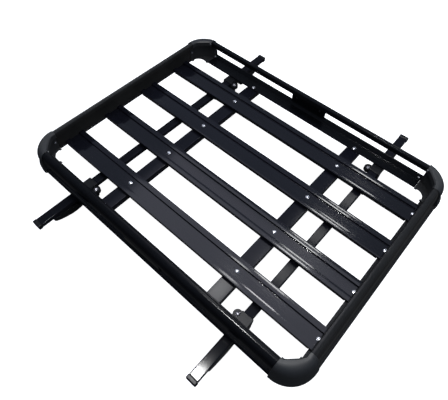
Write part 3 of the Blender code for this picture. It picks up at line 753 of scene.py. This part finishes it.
def foot_mesh(hand):
    """A sleeve with its fixed claw, the jaw's tongue, and the screw's ear on the side of hand."""
    ground = -BAR_Z
    sleeve = side_profile(filleted(
        [(-0.016, 0.0110), (-0.014, 0.0130), (0.070, 0.0130), (0.070, -0.0130),
         (0.020, -0.0130), (0.0175, -0.0185), (0.016, ground + 0.003), (0.013, ground),
         (-0.004, ground), (-0.008, ground + 0.004), (-0.013, -0.0185), (-0.016, -0.0115)],
        0.002), SLEEVE_HALF_WIDTH)
    tongue = side_profile([(0.067, -0.0120), (0.103, -0.0130), (0.1035, -0.0215),
                           (0.100, -0.0275), (0.092, -0.0275), (0.080, -0.0205),
                           (0.067, -0.0205)], TONGUE_HALF_WIDTH)
    ear = cylinder(EAR_RADIUS, -EAR_DEPTH, 0.0, 40)
    rim = turned([(0, 0.0018), (0.0152, 0.0018), (0.0158, 0.0010), (0.0158, -0.0040),
                  (0, -0.0040)], 40)
    body = joined(sleeve, tongue, on_screw(ear, hand), on_screw(rim, hand))
    half_width, half_depth = SLEEVE_CHANNEL
    channel = box((-half_width, -0.05, -half_depth), (half_width, 0.12, half_depth))
    bore = cylinder(SCREW_BORE, -0.03, 0.02, 24)
    recess = cylinder(SCREW_RECESS, 0.0, 0.03, 40)
    body = cut(body, channel, on_screw(bore, hand), on_screw(recess, hand), pin_hole())
    return bevelled(body, 0.0006, 2, 50)


def jaw_mesh():
    """The rocker, from its long arm to its hook, with a slot for the foot's tongue."""
    outline = filleted(
        [(0.084, -0.0175), (0.090, -0.0120), (0.166, -0.0110), (0.172, -0.0140),
         (0.173, -0.0190), (0.166, -0.0265), (0.150, -0.0340), (0.130, -0.0405),
         (0.109, -0.0455), (0.090, -0.0470), (0.072, -0.0455), (0.060, -0.0425),
         (0.0545, -0.0390), (0.0555, -0.0350), (0.064, -0.0320), (0.078, -0.0275)], 0.006, 4)
    slot = box((-FORK_HALF_WIDTH, 0.050, -0.0345), (FORK_HALF_WIDTH, 0.110, -0.0060))
    return bevelled(cut(side_profile(outline, JAW_HALF_WIDTH), slot, pin_hole()), 0.0012, 3)


def pad_mesh():
    """A ribbed rubber pad under the sleeve."""
    pad = side_profile(filleted([(0.024, -0.0133), (0.066, -0.0133), (0.0655, -0.0170),
                                 (0.063, -0.0180), (0.027, -0.0180), (0.0245, -0.0170)], 0.001),
                       JAW_HALF_WIDTH)
    grooves = [box((-0.02, y - PAD_GROOVE_HALF_WIDTH, -0.02),
                   (0.02, y + PAD_GROOVE_HALF_WIDTH, -0.0168)) for y in PAD_GROOVES]
    return cut(pad, *grooves)


def screw_mesh():
    """A domed screw with a washer rim and a hexagonal socket."""
    profile = [(0, 0.0062), *arc((0, 0.0022), (0.0076, 0.0040), 80, 0, 8), (0.0076, 0.0015),
               (0.0085, 0.0012), (0.0085, 0), (SCREW_RADIUS, 0), (SCREW_RADIUS, -0.024),
               (0.0022, SCREW_TIP), (0, SCREW_TIP)]
    return cut(turned(profile, 40), cylinder(0.0029, 0.0030, 0.0100, 6))


def clamp_feet():
    for end, x in ENDS:
        for side, y in SIDES:
            label = f"{end}_{side}"
            place = at(x * BAR_X, y * FOOT_Y, BAR_Z) @ facing(y)
            hand = -x * y
            foot = f"foot_{label}"
            show(f"foot_piece_{label}", moved(foot_mesh(hand), place), MOULDING, foot,
                 [f"foot_body_{label}"])
            show(f"pad_piece_{label}", moved(pad_mesh(), place), RUBBER, foot,
                 [f"foot_pad_{label}"])
            pin = bevelled(cylinder(PIN_RADIUS, -PIN_HALF_LENGTH, PIN_HALF_LENGTH, 28), 0.0004)
            show(f"pin_piece_{label}",
                 moved(pin, place @ at(0, PIN_Y, PIN_Z) @ turn_about("Y", 1)), BLACK_STEEL,
                 foot, [f"jaw_pin_{label}"])
            show(f"jaw_piece_{label}", moved(jaw_mesh(), place), MOULDING,
                 f"jaw_{label}", [f"clamp_jaw_{label}"])
            show(f"screw_piece_{label}",
                 moved(screw_mesh(), place @ at(hand * SCREW_SIDE, 0, GAP)), DULL_STEEL,
                 f"screw_{label}", [f"clamp_screw_{label}"])


# ---------------------------------------------------------------- stage, light and camera

def floor():
    """A pale disc, which neither lights the basket nor shows in its reflections."""
    work = bmesh.new()
    bmesh.ops.create_circle(work, cap_ends=True, radius=9.0, segments=64)
    mesh = from_bmesh(work)
    ground = linked("floor", mesh)
    ground.location.z = -0.0005
    mat = bpy.data.materials.new("pale_floor")
    mat.use_nodes = True
    shader = mat.node_tree.nodes["Principled BSDF"]
    shader.inputs["Base Color"].default_value = (0.80, 0.80, 0.80, 1)
    shader.inputs["Roughness"].default_value = 0.9
    shader.inputs["Emission Color"].default_value = (1, 1, 1, 1)
    shader.inputs["Emission Strength"].default_value = 1.0
    mesh.materials.append(mat)
    ground.visible_glossy = False
    ground.visible_diffuse = False


def area_light(name, place, target, size, power, colour=(1, 1, 1)):
    data = bpy.data.lights.new(name, "AREA")
    data.shape = "RECTANGLE"
    data.size, data.size_y = size
    data.energy = power
    data.color = colour
    light = linked(name, data)
    light.location = place
    aim = Vector(target) - Vector(place)
    light.rotation_euler = aim.to_track_quat("-Z", "Y").to_euler()
    return light


def sky():
    """A world that goes from dark at the horizon to a cool grey overhead."""
    world = bpy.data.worlds.new("studio")
    world.use_nodes = True
    nodes, links = world.node_tree.nodes, world.node_tree.links
    coords = nodes.new("ShaderNodeTexCoord")
    split = nodes.new("ShaderNodeSeparateXYZ")
    links.new(coords.outputs["Generated"], split.inputs["Vector"])
    ramp = nodes.new("ShaderNodeValToRGB")
    horizon, overhead = ramp.color_ramp.elements
    horizon.position, horizon.color = 0.45, (0.10, 0.105, 0.11, 1)
    overhead.position, overhead.color = 0.90, (0.52, 0.60, 0.76, 1)
    lift = nodes.new("ShaderNodeMath")
    lift.operation = "MULTIPLY_ADD"
    lift.inputs[1].default_value = 0.5
    lift.inputs[2].default_value = 0.5
    links.new(split.outputs["Z"], lift.inputs[0])
    links.new(lift.outputs["Value"], ramp.inputs["Fac"])
    links.new(ramp.outputs["Color"], nodes["Background"].inputs["Color"])
    nodes["Background"].inputs["Strength"].default_value = 0.50
    bpy.context.scene.world = world


def reflected_panels():
    """Panels that only reflections see, such as the streaks along the slats' ridges."""
    for name, x, y, size, power in (
            ("end_panel", 0.07, -0.385, (0.22, 0.11), 44.0),
            ("near_strip", 0.03, 0.65, (0.28, 0.16), 2.6),
            ("near_glint", 0.14, 0.65, (0.07, 0.16), 2.2),
            ("middle_strip", 0.03, 1.15, (0.28, 0.16), 2.6),
            ("middle_glint", 0.14, 1.15, (0.07, 0.16), 2.2),
            ("far_strip", 0.08, 1.66, (0.28, 0.16), 2.6),
            ("member_glow", -0.24, 0.20, (0.16, 0.22), 1.1),
            ("rear_soft", -2.68, 0.80, (0.50, 3.00), 7.0)):
        panel = area_light(name, (x, y, PANEL_HEIGHT), (x, y, 0.0), size, power)
        panel.visible_diffuse = False
    for name, place, target in (("rear_wall", (-3.0, 0.4, 0.9), (0.0, 0.0, 0.1)),
                                ("far_wall", (0.6, 3.2, 0.9), (0.3, 0.0, 0.1))):
        wall = area_light(name, place, target, (2.6, 1.2), 10.0)
        wall.visible_diffuse = False


def soft_lights():
    """One soft light that the basket also mirrors, and two that it doesn't."""
    area_light("soft_overhead", (-0.60, 0.68, 2.6), (-0.60, 0.60, 0.1), (2.6, 1.2), 11,
               (0.86, 0.86, 1.0))
    fill = area_light("fill", (-0.2, 1.1, 2.4), (-0.1, 0.1, 0), (3.0, 1.6), 26,
                      (0.90, 0.95, 1.0))
    fill.visible_glossy = False
    front = area_light("front_fill", (2.2, 0.3, 1.6), (-0.4, 0.0, 0.1), (1.6, 1.0), 14)
    front.visible_glossy = False


def camera():
    data = bpy.data.cameras.new("camera")
    data.sensor_width = SENSOR_WIDTH
    data.lens = CAMERA_LENS
    data.clip_end = 50
    obj = linked("camera", data)
    place = Vector(CAMERA_PLACE)
    forward = (Vector(CAMERA_TARGET) - place).normalized()
    right = forward.cross(Vector((0, 0, 1))).normalized()
    up = right.cross(forward)
    turn = Matrix((right, up, -forward)).transposed().to_4x4()
    roll = Matrix.Rotation(math.radians(CAMERA_ROLL), 4, "Z")
    obj.matrix_world = Matrix.Translation(place) @ turn @ roll
    bpy.context.scene.camera = obj


side_rails()
end_rails()
corner_caps()
slats()
cross_members()
deck_bolts()
corner_screws()
rivets()
roof_bars()
clamp_feet()
floor()
sky()
reflected_panels()
soft_lights()
camera()
bpy.context.scene.view_settings.view_transform = "Standard"
